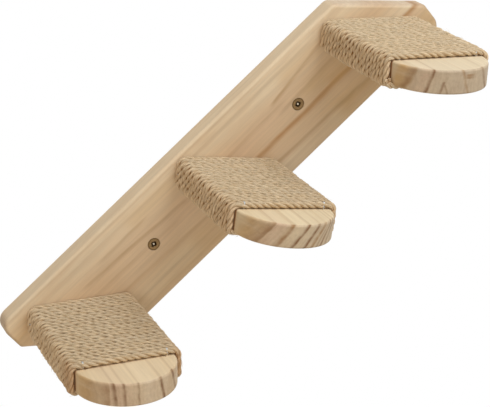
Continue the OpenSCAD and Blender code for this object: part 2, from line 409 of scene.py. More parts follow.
def plank_material(name, place, turn, scale, marks, body, lean, waver, window, face_contrast, grain_axis):
    """Pine with its own grain marks, darker and greyer on cut ends.

    place, turn and scale give the plank's own axes in millimetres, Z along the grain. lean is how far
    the faint rings of a cut end lean with Y. window is the axis along which marks fade in and out, and
    face_contrast is their strength away from cut ends. It gives back the material, its tree, shader and
    colour, and the places across and along the grain.
    """
    material, tree, shader = new_material(name)
    where = add_node(tree, "ShaderNodeTexCoord").outputs["Object"]
    axes_inputs = {"Vector": where, "Location": place, "Rotation": turn, "Scale": scale}
    mapped = add_node(tree, "ShaderNodeMapping", axes_inputs, vector_type="TEXTURE").outputs["Vector"]
    x, y, z = split(tree, mapped)
    shift = use_group(tree, grain_waver, {"Vector": mapped, **waver})["Shift"]
    shifted = math_node(tree, "ADD", x, shift)
    wavy = combine(tree, shifted, y, z)
    leaned = math_node(tree, "MULTIPLY_ADD", y, -lean, shifted)
    ring_span = vector_math(tree, "MULTIPLY", combine(tree, leaned, y, z), RING_RATE)
    faint_rings = map_range(tree, noise(tree, ring_span, detail=3.0, roughness=0.6), *FAINT_RINGS)
    broad = use_group(tree, fibres, {"Vector": mapped, "Fineness": 0.42, "Length": 60.0})
    fine = use_group(tree, fibres, {"Vector": mapped, "Fineness": 4.5, "Length": 10.0})["Streaks"]

    normal = add_node(tree, "ShaderNodeNewGeometry").outputs["Normal"]
    facing = vector_math(tree, "DOT_PRODUCT", normal, grain_axis)
    end_grain = math_node(tree, "MULTIPLY", facing, facing, clamp=True)
    contrast = map_range(tree, end_grain, 0.0, FULL_CONTRAST, face_contrast, 1.0)
    broken = map_range(tree, noise(tree, vector_math(tree, "MULTIPLY", mapped, BREAK_RATE)), *BREAKS)
    contrast = math_node(tree, "MULTIPLY", contrast, broken)

    colour = mix_colour(tree, broad["Patches"], body, [c * f for c, f in zip(body, PINE_PATCH)])
    for tone, *sizes in marks:
        inputs = {"Vector": wavy, "Window": (x, y, z)[window], **dict(zip(MARK_INPUTS, sizes))}
        inputs["Peak"] = LINE_PEAK if tone in LINE_TONES else 1.0
        mask = use_group(tree, grain_mark, inputs)["Mask"]
        colour = mix_colour(tree, math_node(tree, "MULTIPLY", mask, contrast), colour, TONES[tone])
    end_tone = mix_colour(tree, faint_rings, CUT_END_PALE, CUT_END_DARK)
    cut_end = tinted(tree, colour, end_tone)
    colour = mix_colour(tree, map_range(tree, end_grain, *CUT_END), colour, cut_end)
    streaked = map_range(tree, broad["Streaks"], *STREAKS)
    hairline = map_range(tree, fine, *HAIRLINES)
    colour = tinted(tree, colour, grey(tree, math_node(tree, "MULTIPLY", streaked, hairline)))
    relief = math_node(tree, "MULTIPLY_ADD", broad["Streaks"], 0.5, fine)
    inputs = {
        "Base Color": colour,
        "Roughness": map_range(tree, broad["Streaks"], 0.0, 1.0, *PINE_ROUGHNESS),
        "Specular IOR Level": PINE_SPECULAR,
        "Normal": bump(tree, relief, *PINE_BUMP),
    }
    set_inputs(tree, shader, inputs)
    return material, tree, shader, colour, x, z


def board_pine_material():
    return plank_material(
        "backboard_pine",
        place=(0, 0, 0),
        turn=(0, math.radians(90) - BOARD_ANGLE, 0),
        scale=(-MM, MM, MM),
        marks=BOARD_MARKS,
        body=(0.785, 0.603, 0.408),
        lean=0.0,
        waver={"Wander": 5.0, "Across": 60.0, "Through": 60.0, "Along": 95.0},
        window=2,
        face_contrast=1.0,
        grain_axis=board_point(1, 0, 0),
    )[0]


def step_pine_material(step, marks, body, lean):
    """A step's pine, with a thin line of painted shade where the last turn of rope presses on it."""
    material, tree, shader, colour, across, depth = plank_material(
        f"{STEPS[step]}_step_pine",
        place=step_place(step),
        turn=(math.radians(90), -STEP_TURNS[step], 0),
        scale=(MM, MM, MM),
        marks=marks,
        body=body,
        lean=lean,
        waver={"Wander": 2.2, "Across": 30.0, "Through": 9.0, "Along": 70.0},
        window=1,
        face_contrast=LEVEL_CONTRAST,
        grain_axis=(0.0, 1.0, 0.0),
    )
    pressed = (LAST_TURN + CONTACT_PLACE * ROPE_R) / MM
    gap = math_node(tree, "ABSOLUTE", math_node(tree, "SUBTRACT", depth, pressed))
    from_middle = math_node(tree, "ABSOLUTE", across)
    reach = map_range(tree, from_middle, CORNER_X / MM, STEP_W / 2 / MM, *CONTACT_REACH)
    strength = map_range(tree, from_middle, CORNER_X / MM, STEP_W / 2 / MM, *CONTACT_STRENGTH)
    line = map_range(tree, gap, 0.0, reach, 1.0, 0.0, smooth=True)
    shade = math_node(tree, "MULTIPLY", line, strength)
    tree.links.new(mix_colour(tree, shade, colour, CONTACT_SHADE_TONE), shader.inputs["Base Color"])
    return material


# Sisal: its colours, and the tints of slow patches, of painted light on the flanks and of the darker last
# turns
YARN_DARK = (0.560, 0.420, 0.262)
YARN_PALE = (0.765, 0.635, 0.460)
HAIR_DARK = (0.310, 0.205, 0.110)
HAIR_PALE = (0.890, 0.770, 0.570)
SHADE_TONE = (0.265, 0.112, 0.022)
SISAL_PATCH = (1.0, 0.965, 0.91)
FLANK_LIGHT_TINT = (1.17, 1.13, 1.10)
FRONT_DARKENING_TINT = (0.70, 0.56, 0.46)
YARN_LEAN = 0.6
# Ranges of the yarn's noises, given as the pine's are
YARNS = (0.34, 0.64)
PALE_HAIRS = (0.52, 0.70, 0.0, 0.70)
DARK_HAIRS = (0.28, 0.46, 0.45, 0.0)
TUFTS = (0.32, 0.68, 0.74, 1.22)
SLOW_PATCHES = (0.35, 0.65)
# Painted shade: how dark it is between the strands, and how wide the dark pits between two turns are there
CREASE = (0.30, 1.0, 0.0, 0.46)
PIT_WIDTH = (0.25, 0.85, 0.35, 1.0)
# Painted shade down against the wood: depth where it starts to darken, and where it is darkest: on level
# runs, on flanks
TUCK_START = 0.12
TUCK_FULL = (0.85, 0.42)
TUCK_STRENGTH = (0.88, 1.0)
SISAL_ROUGHNESS = 0.80
SISAL_SPECULAR = 0.10
SISAL_SHEEN = 0.05
SISAL_SHEEN_ROUGHNESS = 0.5
SISAL_BUMP = (0.8, 0.45 * MM)
FUZZ_DARK = (0.560, 0.400, 0.230)
FUZZ_PALE = (0.900, 0.780, 0.560)
FUZZ_ROUGHNESS = 0.7


def sisal_material():
    """Sisal: straw fibres along the strand, with painted shade between strands and down against the wood,
    and painted light on the flanks.
    """
    material, tree, shader = new_material("sisal")
    uv = add_node(tree, "ShaderNodeUVMap", uv_map="strand").outputs[0]
    along, around, _ = split(tree, uv)
    leaned = math_node(tree, "MULTIPLY_ADD", along, YARN_LEAN, around)
    metric = vector_math(tree, "MULTIPLY", combine(tree, leaned, 0.0, along), TO_MM)
    yarns = use_group(tree, fibres, {"Vector": metric, "Fineness": 1.9, "Length": 7.0})
    hairs = use_group(tree, fibres, {"Vector": metric, "Fineness": 6.5, "Length": 4.0})["Streaks"]
    tufts = use_group(tree, fibres, {"Vector": metric, "Fineness": 0.95, "Length": 5.0})["Streaks"]

    yarn_mask = map_range(tree, yarns["Streaks"], *YARNS, smooth=True)
    colour = mix_colour(tree, yarn_mask, YARN_DARK, YARN_PALE)
    colour = mix_colour(tree, map_range(tree, hairs, *PALE_HAIRS), colour, HAIR_PALE)
    colour = mix_colour(tree, map_range(tree, hairs, *DARK_HAIRS), colour, HAIR_DARK)
    colour = tinted(tree, colour, grey(tree, map_range(tree, tufts, *TUFTS)))
    warmer = tinted(tree, colour, SISAL_PATCH)
    colour = mix_colour(tree, map_range(tree, yarns["Patches"], *SLOW_PATCHES), colour, warmer)
    flank_lit = tinted(tree, colour, FLANK_LIGHT_TINT)

    between = attribute(tree, "groove")
    crease = map_range(tree, between, *CREASE, smooth=True)
    pit_width = map_range(tree, between, *PIT_WIDTH, smooth=True)
    flank = attribute(tree, "flank")
    full_tuck = map_range(tree, flank, 0.0, 1.0, *TUCK_FULL)
    tucked = map_range(tree, attribute(tree, "tuck"), TUCK_START, full_tuck, smooth=True)
    tuck = math_node(tree, "MULTIPLY", tucked, map_range(tree, flank, 0.0, 1.0, *TUCK_STRENGTH))
    shade = math_node(tree, "MAXIMUM", crease, math_node(tree, "MULTIPLY", tuck, pit_width))
    # Painted light: the flanks, which get less light, are made paler
    colour = mix_colour(tree, map_range(tree, flank), colour, flank_lit)
    colour = mix_colour(tree, attribute(tree, "front_darkening"), colour, tinted(tree, colour, FRONT_DARKENING_TINT))
    relief = math_node(tree, "MULTIPLY_ADD", hairs, 0.5, yarns["Streaks"])
    inputs = {
        "Base Color": mix_colour(tree, shade, colour, SHADE_TONE),
        "Roughness": SISAL_ROUGHNESS,
        "Specular IOR Level": SISAL_SPECULAR,
        "Sheen Weight": SISAL_SHEEN,
        "Sheen Roughness": SISAL_SHEEN_ROUGHNESS,
        "Normal": bump(tree, relief, *SISAL_BUMP),
    }
    set_inputs(tree, shader, inputs)
    return material


def fuzz_material():
    """Loose sisal hairs, each with its own paleness."""
    material, tree, shader = new_material("sisal_fuzz")
    colour = mix_colour(tree, attribute(tree, "paleness"), FUZZ_DARK, FUZZ_PALE)
    set_inputs(tree, shader, {"Base Color": colour, "Roughness": FUZZ_ROUGHNESS})
    return material


# Steel: the range of its cloudy tarnish, how much that roughens it, and its fine scratches
TARNISH = (0.35, 0.65, 0.0, 0.45)
TARNISH_ROUGHER = 0.2
SCRATCH_RATE = (5, 5, 5)
SCRATCH_BUMP = (0.15, 0.05 * MM)


def steel_material(name, face, shadow, bright, roughness):
    """Plated steel, with painted shade and grime dark in its recess and rim, a painted glint and wear bright
    on its pillar, and cloudy tarnish.
    """
    material, tree, shader = new_material(name)
    where = add_node(tree, "ShaderNodeTexCoord").outputs["Object"]
    metric = vector_math(tree, "MULTIPLY", where, TO_MM)
    cloud = noise(tree, metric, detail=4.0)
    colour = mix_colour(tree, map_range(tree, cloud, *TARNISH), face, shadow)
    colour = mix_colour(tree, attribute(tree, "shade_and_grime"), colour, shadow)
    colour = mix_colour(tree, attribute(tree, "wear_and_glint"), colour, bright)
    scratches = noise(tree, vector_math(tree, "MULTIPLY", metric, SCRATCH_RATE), detail=3.0)
    inputs = {
        "Base Color": colour,
        "Metallic": 1.0,
        "Roughness": map_range(tree, cloud, 0.0, 1.0, roughness, roughness + TARNISH_ROUGHER),
        "Normal": bump(tree, scratches, *SCRATCH_BUMP),
    }
    set_inputs(tree, shader, inputs)
    return material


# Each step's marks, body colour and lean of its faint rings
STEP_LOOKS = (
    (BOTTOM_MARKS, (0.820, 0.670, 0.460), -0.08),
    (MIDDLE_MARKS, (0.815, 0.685, 0.475), 0.60),
    (TOP_MARKS, (0.785, 0.665, 0.480), 0.10),
)
board_pine = board_pine_material()
step_pines = [step_pine_material(i, *looks) for i, looks in enumerate(STEP_LOOKS)]
sisal = sisal_material()
sisal_fuzz = fuzz_material()
bronzed_steel = steel_material(
    "bronzed_steel",
    face=(0.345, 0.215, 0.098),
    shadow=(0.090, 0.052, 0.019),
    bright=(0.66, 0.58, 0.45),
    roughness=0.42,
)
zinc_steel = steel_material(
    "zinc_steel",
    face=(0.660, 0.650, 0.630),
    shadow=(0.130, 0.130, 0.130),
    bright=(0.88, 0.87, 0.84),
    roughness=0.28,
)


# Meshes


def new_piece(name, points, faces, material, values=None):
    """A smooth mesh piece in the row's axes that rides on the ladder, with named numbers on its points."""
    mesh = bpy.data.meshes.new(name)
    mesh.from_pydata(np.asarray(points).tolist(), [], faces)
    mesh.materials.append(material)
    mesh.shade_smooth()
    for label, numbers in (values or {}).items():
        layer = mesh.attributes.new(label, "FLOAT", "POINT")
        layer.data.foreach_set("value", np.asarray(numbers, np.float32).ravel())
    piece = bpy.data.objects.new(name, mesh)
    bpy.context.scene.collection.objects.link(piece)
    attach(piece, "root")
    return piece


def tube_faces(rings, sides, first=0):
    """Quads round a tube of that many rings, and its two end caps."""
    i = np.arange(rings - 1)[:, None] * sides
    j = np.arange(sides)[None, :]
    k = (j + 1) % sides
    quads = np.stack([i + j, i + k, i + sides + k, i + sides + j], -1).reshape(-1, 4) + first
    last = first + (rings - 1) * sides
    caps = [[first + s for s in reversed(range(sides))], [last + s for s in range(sides)]]
    return quads.tolist() + caps


WAVE_SPREAD = (0.85, 1.15)


def ripple(length, step, first_seed, waves, size):
    """Smooth seeded wobble along a length, as a sum of slow waves, of its own on each step."""
    rng = np.random.default_rng(first_seed + step)
    total = np.zeros_like(length)
    for wave in waves:
        total += np.sin(2 * math.pi * (length / (wave * rng.uniform(*WAVE_SPREAD)) + rng.uniform()))
    return total * size / len(waves)


# Rope windings

STRANDS = 3
STRAND_LAY = 21.5 * MM
STRAND_SIDES = 7
STRAND_OFFSET = 1.32 * MM
STRAND_R = 1.58 * MM
RING_STEP = 1.15 * MM
BEND_PARTS = 6
# Wobbles of the rope: first seed, wave lengths and size
SIDE_DRIFT = (11, (31 * MM, 73 * MM, 180 * MM), 0.30 * MM)
LIFT_DRIFT = (21, (19 * MM, 47 * MM, 120 * MM), 0.20 * MM)
TWIST_DRIFT = (31, (90 * MM, 230 * MM, 37 * MM), 1.3)
SWELL = (41, (14 * MM, 37 * MM, 8 * MM), 0.05)
# How high over its middle the rope starts to count as tucked into painted shade, and over what depth
TUCK_TOP = 1.9 * MM
TUCK_DEPTH = 2.2 * MM
# The open side of the first and last turns is only tucked from this height down. That sets in over
# a run along the rope, and over a width across it.
OPEN_TUCK_TOP = -0.9 * MM
OPEN_RUN = 2 * ROPE_D
OPEN_WIDTH = 0.3 * ROPE_R
# How far taut rope is pressed up at the lower left corners, and all along its last run underneath
CORNER_PRESS = 1.2 * MM
LAST_PRESS = 3.0 * MM
# Where the bottom and middle ropes are cut, as a share of the way back to the left corner
CUT_SHARE = 0.84
# How much darker and warmer the flanks of each step's last turns are, from this place forwards
FRONT_DARKENING = (0.72, 0.22, 0.0)
FRONT_DARKENING_START = LAST_TURN - 3.5 * ROPE_PITCH
# Rings of a cut end: size as a share of the rope, how far out it stands, and how dark its painted shade is
CUT_END_RINGS = (
    (0.93, 0.25 * MM, 0.15), (0.66, 0.45 * MM, 0.45), (0.36, 0.20 * MM, 0.75), (0.10, -0.30 * MM, 0.9),
)
# The top step's cut end curls up past the lower left corner and points forwards, in millimetres
CURLED_END = (
    (-39.0, -12.9, 129.4), (-43.0, -12.3, 129.0), (-45.4, -9.8, 127.8), (-46.0, -7.2, 126.8),
    (-45.9, -6.2, 127.6), (-45.8, -6.0, 129.2),
)


def corner_bend(side, up, start, z):
    """Points clockwise round one corner of the plank, from the start angle."""
    x, y = side * CORNER_X, up * CORNER_Y
    angles = [math.radians(start - 90 * i / BEND_PARTS) for i in range(BEND_PARTS + 1)]
    return [(x + BEND_R * math.cos(a), y + BEND_R * math.sin(a), z) for a in angles]


def winding_line(step):
    """Up the left side, level over the top, down the right, and one pitch forward on the run underneath."""
    points = [(-SIDE_X, -CORNER_Y, FIRST_TURN)]
    for turn in range(ROPE_TURNS):
        z = FIRST_TURN + turn * ROPE_PITCH
        if turn:
            points += corner_bend(-1, -1, 270, z)
        points += corner_bend(-1, 1, 180, z)
        points += corner_bend(1, 1, 90, z)
        points += corner_bend(1, -1, 0, z)
    curled = STEPS[step] == "top"
    share = END_SHARE if curled else CUT_SHARE
    points.append((CORNER_X * (1 - 2 * share), UNDER_Y, LAST_TURN + ROPE_PITCH * share))
    if curled:
        points += rounded_off(np.array([points[-1], *(np.array(CURLED_END) * MM)]))[1:].tolist()
    return pressed_under(np.array(points))


def pressed_under(points):
    """The same line, lifted where taut rope is squeezed against the underside."""
    below = np.clip((-CORNER_Y - points[:, 1]) / BEND_R, 0, 1)
    leftness = np.clip(0.5 - points[:, 0] / STEP_W, 0, 1)
    lastness = np.clip(1 + (points[:, 2] - LAST_TURN) / ROPE_PITCH, 0, 1)
    press = CORNER_PRESS * leftness
    points[:, 1] += below * (press + (LAST_PRESS - press) * lastness)
    return points


def rounded_off(points, passes=2):
    """A line with its corners cut and its two ends kept."""
    for _ in range(passes):
        cuts = np.stack([0.75 * points[:-1] + 0.25 * points[1:], 0.25 * points[:-1] + 0.75 * points[1:]], 1)
        points = np.concatenate([points[:1], cuts.reshape(-1, 3), points[-1:]])
    return points


def resampled(points, step):
    """The same line with evenly spaced points, and the length up to each."""
    lengths = np.concatenate([[0], np.cumsum(np.linalg.norm(np.diff(points, axis=0), axis=1))])
    even = np.linspace(0, lengths[-1], int(lengths[-1] / step))
    return np.stack([np.interp(even, lengths, points[:, a]) for a in range(3)], -1), even


def strand_profile():
    """Angle and radius round a three-strand rope, and how deep each point lies between the strands."""
    angles = np.arange(STRANDS * STRAND_SIDES) * 2 * math.pi / (STRANDS * STRAND_SIDES)
    within = (angles % (2 * math.pi / STRANDS)) - math.pi / STRANDS
    radius = STRAND_OFFSET * np.cos(within) + np.sqrt(STRAND_R**2 - (STRAND_OFFSET * np.sin(within)) ** 2)
    return angles, radius, (radius.max() - radius) / np.ptp(radius)


def rope_frames(points):
    """Direction, outward and sideways vectors along the winding."""
    along = unit(np.gradient(points, axis=0))
    near = points.copy()
    near[:, 0] = np.clip(points[:, 0], -CORNER_X, CORNER_X)
    near[:, 1] = np.clip(points[:, 1], -CORNER_Y, CORNER_Y)
    away = points - near
    away = unit(away - (away * along).sum(1, keepdims=True) * along)
    return along, away, np.cross(along, away)


def rope_rings(step):
    """Ring points of one winding, with groove depth, tuck towards the wood and flank share, and lengths."""
    points, length = resampled(winding_line(step), RING_STEP)
    points[:, 2] += ripple(length, step, *SIDE_DRIFT)
    along, away, side = rope_frames(points)
    points += away * ripple(length, step, *LIFT_DRIFT)[:, None]
    angles, radius, depth = strand_profile()
    twist = 2 * math.pi * length / STRAND_LAY + ripple(length, step, *TWIST_DRIFT)
    swell = 1 + ripple(length, step, *SWELL)
    turned = angles[None, :] + twist[:, None]
    reach = radius[None, :] * swell[:, None]
    rise = reach * np.cos(turned)
    sway = reach * np.sin(turned)
    ring = points[:, None, :] + rise[..., None] * away[:, None, :] + sway[..., None] * side[:, None, :]
    tuck = np.clip((TUCK_TOP - rise) / TUCK_DEPTH, 0, 1)
    open_tuck = np.clip((OPEN_TUCK_TOP - rise) / TUCK_DEPTH, 0, 1)
    one_turn = length[-1] / ROPE_TURNS
    after_last = np.clip((length - length[-1] + one_turn) / OPEN_RUN, 0, 1)[:, None]
    before_first = np.clip((one_turn - length) / OPEN_RUN, 0, 1)[:, None]
    forwards = sway / OPEN_WIDTH
    openness = np.clip(after_last * forwards, 0, 1) + np.clip(-before_first * forwards, 0, 1)
    tuck = tuck + (open_tuck - tuck) * openness
    groove = np.broadcast_to(depth, tuck.shape)
    flank = np.broadcast_to(np.abs(away[:, :1]), tuck.shape)
    parts = (ring, groove, tuck, flank)
    parts = cut_end(parts, points[-1], along[-1], after=True)
    parts = cut_end(parts, points[0], -along[0], after=False)
    return parts, length


def cut_end(parts, centre, outward, after):
    """Adds shrinking rings to one end, domed, with painted shade darkening the middle like a cut rope's
    hollow core.
    """
    ring, groove, _, flank = [part[-1 if after else 0] for part in parts]
    stacks = [
        (centre + (ring - centre) * share + outward * out, groove, np.full(groove.shape, dark), flank)
        for share, out, dark in CUT_END_RINGS
    ]
    if after:
        return [np.concatenate([part, np.stack(new)]) for part, new in zip(parts, zip(*stacks))]
    return [np.concatenate([np.stack(new), part]) for part, new in zip(parts, zip(*stacks[::-1]))]


def add_strand_uv(piece, rings, sides, length):
    """The rope's length and the way round it on each face's corners, in metres. The end caps get none."""
    u = np.interp(np.arange(rings), np.linspace(0, rings - 1, len(length)), length)
    u = np.repeat(u, sides).reshape(rings, sides)
    width = 2 * math.pi * ROPE_R / sides
    v = np.arange(sides) * width
    quads_u = np.stack([u[:-1], u[:-1], u[1:], u[1:]], -1)
    quads_v = np.broadcast_to(np.stack([v, v + width, v + width, v], -1), (rings - 1, sides, 4))
    quads = np.stack([quads_u, quads_v], -1).reshape(-1, 2)
    caps = np.zeros((2 * sides, 2))
    layer = piece.data.uv_layers.new(name="strand")
    layer.data.foreach_set("uv", np.concatenate([quads, caps]).astype(np.float32).ravel())


def rope_winding(step):
    name = STEPS[step]
    (ring, groove, tuck, flank), length = rope_rings(step)
    rings, sides = ring.shape[:2]
    points = placed(ring.reshape(-1, 3), step_matrix(step))
    nearness = np.clip((ring[..., 2] - FRONT_DARKENING_START) / (LAST_TURN - FRONT_DARKENING_START), 0, 1)
    values = {"groove": groove, "tuck": tuck, "flank": flank, "front_darkening": FRONT_DARKENING[step] * flank * nearness}
    piece = new_piece(f"{name}_rope_winding", points, tube_faces(rings, sides), sisal, values)
    add_strand_uv(piece, rings, sides, length)
    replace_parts(piece, f"{name}_rope")
    rope_fuzz(step, ring, tuck)


FUZZ_SEED = 71
FUZZ_HAIRS = 600
FUZZ_R = 0.12 * MM
FUZZ_SIDES = 3
FUZZ_PARTS = 5
# Hairs keep this many rings from the rope's ends, and to where it isn't tucked more than this
FUZZ_MARGIN = 20
FUZZ_TUCK = 0.25
# Least and most of a hair's length in millimetres, and of its lift and curl as shares of that
FUZZ_REACH = (2.5, 6.0)
FUZZ_LIFT = (0.04, 0.22)
FUZZ_CURL = (-0.45, 0.45)
# How far round its arch a hair goes, and how thick its root is
FUZZ_ARCH = 0.7
FUZZ_ROOT = 1.15


def rope_fuzz(step, ring, tuck):
    """Loose hairs that leave the strands at a low angle and curl."""
    rng = np.random.default_rng(FUZZ_SEED + step)
    rings, sides = ring.shape[:2]
    angles = np.arange(FUZZ_SIDES) * 2 * math.pi / FUZZ_SIDES
    t = np.linspace(0, 1, FUZZ_PARTS)[:, None]
    hairs, paleness = [], []
    while len(hairs) < FUZZ_HAIRS:
        i, j = int(rng.integers(FUZZ_MARGIN, rings - FUZZ_MARGIN)), int(rng.integers(sides))
        if tuck[i, j] > FUZZ_TUCK:
            continue
        root = ring[i, j]
        out = unit(root - ring[i].mean(0))
        way = unit(ring[i + 1, j] - ring[i - 1, j]) * rng.choice((-1.0, 1.0))
        side = np.cross(way, out)
        reach, lift, curl = rng.uniform(*FUZZ_REACH) * MM, rng.uniform(*FUZZ_LIFT), rng.uniform(*FUZZ_CURL)
        arch = lift * np.sin(t * math.pi * FUZZ_ARCH)
        spine = root + reach * (t * way + arch * out + curl * t**2 * side)
        section = np.cos(angles)[:, None] * out + np.sin(angles)[:, None] * side
        hairs.append(spine[:, None, :] + section * FUZZ_R * (FUZZ_ROOT - t[..., None]))
        paleness.append(rng.uniform())
    size = FUZZ_SIDES * FUZZ_PARTS
    faces = [f for i in range(FUZZ_HAIRS) for f in tube_faces(FUZZ_PARTS, FUZZ_SIDES, i * size)]
    points = placed(np.reshape(hairs, (-1, 3)), step_matrix(step))
    values = {"paleness": np.repeat(paleness, size)}
    new_piece(f"{STEPS[step]}_rope_fuzz", points, faces, sisal_fuzz, values)


for index in range(len(STEPS)):
    rope_winding(index)


# Screws, pointing down their own Z with the head's face at zero

SCREW_SIDES = 48
# The recess: its depth as a share of the head, its edge as shares of the head's radius, and its turn
RECESS_DEPTH = 0.24
RECESS_CORE = 0.37
RECESS_WINGS = 0.10
RECESS_TURN = 28
# Past this share of its edge the recess is a wall, and inside it a pillar, bright with a painted glint and
# wear
RECESS_WALL = 0.5
# The thread: its pitch and the point's length in diameters, and its core as a share of the radius
THREAD_PITCH = 0.46
THREAD_CORE = 0.66
POINT_LENGTH = 1.6
POINT_TIP = 0.12
# Half a ridge's width and the gap before the first turn, as shares of the pitch, and rings in each turn
RIDGE_HALF = 0.28
THREAD_GAP = 0.02
THREAD_RINGS = 9
THREAD_SHADE_AND_GRIME = 0.2
# Rings of the head's face from its rim inwards: share of the radius, drop in rims, painted shade and grime
HEAD_RINGS = ((1.0, 0.35, 0.6), (0.985, 0.12, 0.6), (0.86, 0.02, 0.4), (0.76, 0.0, 0.1), (0.66, 0.02, 0.1))
# Rings of the recess inwards: share of its edge, drop as a share of its depth, painted shade and grime,
# painted glint and wear
RECESS_RINGS = (
    (1.20, 0.00, 0.2, 0.0), (1.02, 0.05, 0.7, 0.0), (0.94, 0.35, 1.0, 0.0), (0.84, 0.80, 1.0, 0.0),
    (0.62, 0.85, 1.0, 0.0), (0.50, 0.55, 0.6, 0.0), (0.42, 0.22, 0.0, 0.9), (0.30, 0.12, 0.0, 1.0),
    (0.05, 0.10, 0.0, 1.0),
)


def head_face(angles, head, glinting_pillar):
    """Rings of the head's face from the middle of the cross recess out to the rim, with painted shade and
    grime, and a painted glint and wear.
    """
    head_r = head / 2
    rim = [(head_r * share, -HEAD_SINK - drop * HEAD_RIM, shade_and_grime, 0.0) for share, drop, shade_and_grime in HEAD_RINGS]
    edge = head_r * (RECESS_CORE + RECESS_WINGS * np.cos(2 * angles) ** 2)
    deep = RECESS_DEPTH * head
    recess = []
    for share, drop, shade_and_grime, wear_and_glint in RECESS_RINGS:
        if not glinting_pillar and share <= RECESS_WALL:
            shade_and_grime, wear_and_glint = 1.0, 0.0
        recess.append((edge * share, -HEAD_SINK - deep * drop, shade_and_grime, wear_and_glint))
    return (rim + recess)[::-1]


def shank_and_thread(angles, d, length, head, plain_end):
    """Rings from under the head down to the point; the thread is a helical ridge on a thinner core."""
    r = d / 2
    core = THREAD_CORE * r
    shank = SHANK_SHARE * r
    seat = HEAD_SINK + HEAD_RIM
    rings = [(head / 2, -seat), (shank, -seat - head / 2 + shank), (shank, -plain_end)]
    pitch = THREAD_PITCH * d
    count = int((length - plain_end) / pitch * THREAD_RINGS)
    for depth in np.linspace(plain_end + THREAD_GAP * pitch, length, count):
        turn = (depth / pitch - angles / (2 * math.pi)) % 1
        ridge = np.clip(1 - np.abs(turn - 0.5) / RIDGE_HALF, 0, 1)
        taper = min(1.0, POINT_TIP + (1 - POINT_TIP) * (length - depth) / (POINT_LENGTH * d))
        rings.append(((core + (r - core) * ridge) * taper, -depth))
    return [(r, z, THREAD_SHADE_AND_GRIME, 0.0) for r, z in rings]


def screw(name, matrix, d, length, head, glinting_pillar, material, slot):
    angles = np.arange(SCREW_SIDES) * 2 * math.pi / SCREW_SIDES
    rings = head_face(angles, head, glinting_pillar) + shank_and_thread(angles, d, length, head, BOARD_T + SHANK_PAST)
    level = np.ones(SCREW_SIDES)
    points = [np.stack([r * np.cos(angles), r * np.sin(angles), z * level], -1) for r, z, _, _ in rings]
    values = {
        "shade_and_grime": np.repeat([shade_and_grime for _, _, shade_and_grime, _ in rings], SCREW_SIDES),
        "wear_and_glint": np.repeat([wear_and_glint for _, _, _, wear_and_glint in rings], SCREW_SIDES),
    }
    faces = [f[::-1] for f in tube_faces(len(rings), SCREW_SIDES)]
    points = placed(np.concatenate(points), matrix)
    piece = new_piece(f"{name}_detail", points, faces, material, values)
    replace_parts(piece, name)


def wall_screw_matrix(side):
    """Where the head sits, and how far its recess is turned."""
    place = board_point(side * STEP_PITCH / 2, 0, BOARD_T)
    out_of_board = Matrix.Rotation(math.radians(90), 4, "X")
    recess_turn = Matrix.Rotation(math.radians(RECESS_TURN * side), 4, "Z")
    return Matrix.Translation(place) @ out_of_board @ recess_turn


def step_screw_matrix(step, side):
    place = Matrix.Translation((side * STEP_SCREW_GAP / 2, 0, -BOARD_T))
    return step_matrix(step) @ place @ Matrix.Rotation(math.radians(180), 4, "X")


WALL_SCREW = (WALL_SCREW_D, WALL_SCREW_LEN, WALL_SCREW_HEAD, True, bronzed_steel, "bronzed_steel")
STEP_SCREW = (STEP_SCREW_D, STEP_SCREW_LEN, STEP_SCREW_HEAD, False, zinc_steel, "zinc_steel")
for label, side in (("lower", -1), ("upper", 1)):
    screw(f"{label}_wall_screw", wall_screw_matrix(side), *WALL_SCREW)
for index, label in enumerate(STEPS):
    for way, side in (("left", -1), ("right", 1)):
        screw(f"{label}_step_{way}_screw", step_screw_matrix(index, side), *STEP_SCREW)


# Staples. Their crowns are pressed into the rope, and their legs go through it into the wood.

STAPLE_X = 35.5 * MM
STAPLE_HALF = 1.6 * MM
STAPLE_T = 0.45 * MM
STAPLE_W = 1.2 * MM
# How far each step's crowns stand from the middle of the rope; the top step's are sunk out of sight
CROWN_REACH = [share * ROPE_R for share in (1.03, 0.99, 0.52)]
CROWN_ANGLE = 46
CROWN_PARTS = 6
# Where the cut end's staple sits, as a share of the way back to the left corner
UNDER_SHARE = 0.8
UNDER_PLACE = (
    CORNER_X * (1 - 2 * UNDER_SHARE), UNDER_Y + LAST_PRESS, LAST_TURN + ROPE_PITCH * UNDER_SHARE
)


def staple_points(reach):
    """Rings of one staple: the origin is the rope's centre, the wood is below, the crown crosses along Z."""
    angles = np.radians(np.linspace(CROWN_ANGLE, -CROWN_ANGLE, CROWN_PARTS + 1))
    half = math.sin(math.radians(CROWN_ANGLE))
    crown = [(0, reach * math.cos(a), STAPLE_HALF * math.sin(a) / half) for a in angles]
    foot = -ROPE_R - LEG_DEPTH
    line = np.array([(0, foot, STAPLE_HALF), *crown, (0, foot, -STAPLE_HALF)])
    along = unit(np.gradient(line, axis=0))
    flat = np.array([1.0, 0.0, 0.0])
    thick = np.cross(along, flat)
    corners = ((-1, -1), (1, -1), (1, 1), (-1, 1))
    sides = [line + flat * (a * STAPLE_W / 2) + thick * (b * STAPLE_T / 2) for a, b in corners]
    return np.stack(sides, 1)


def staples(name, matrices, reach, replaced):
    rings = staple_points(reach)
    flat = rings.reshape(-1, 3)
    faces = [f for i in range(len(matrices)) for f in tube_faces(len(rings), 4, i * len(flat))]
    points = np.concatenate([placed(flat, m) for m in matrices])
    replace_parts(new_piece(name, points, faces, zinc_steel), replaced)


def staple_at(step, x, y, z, turn):
    return step_matrix(step) @ Matrix.Translation((x, y, z)) @ Matrix.Rotation(math.radians(turn), 4, "Z")


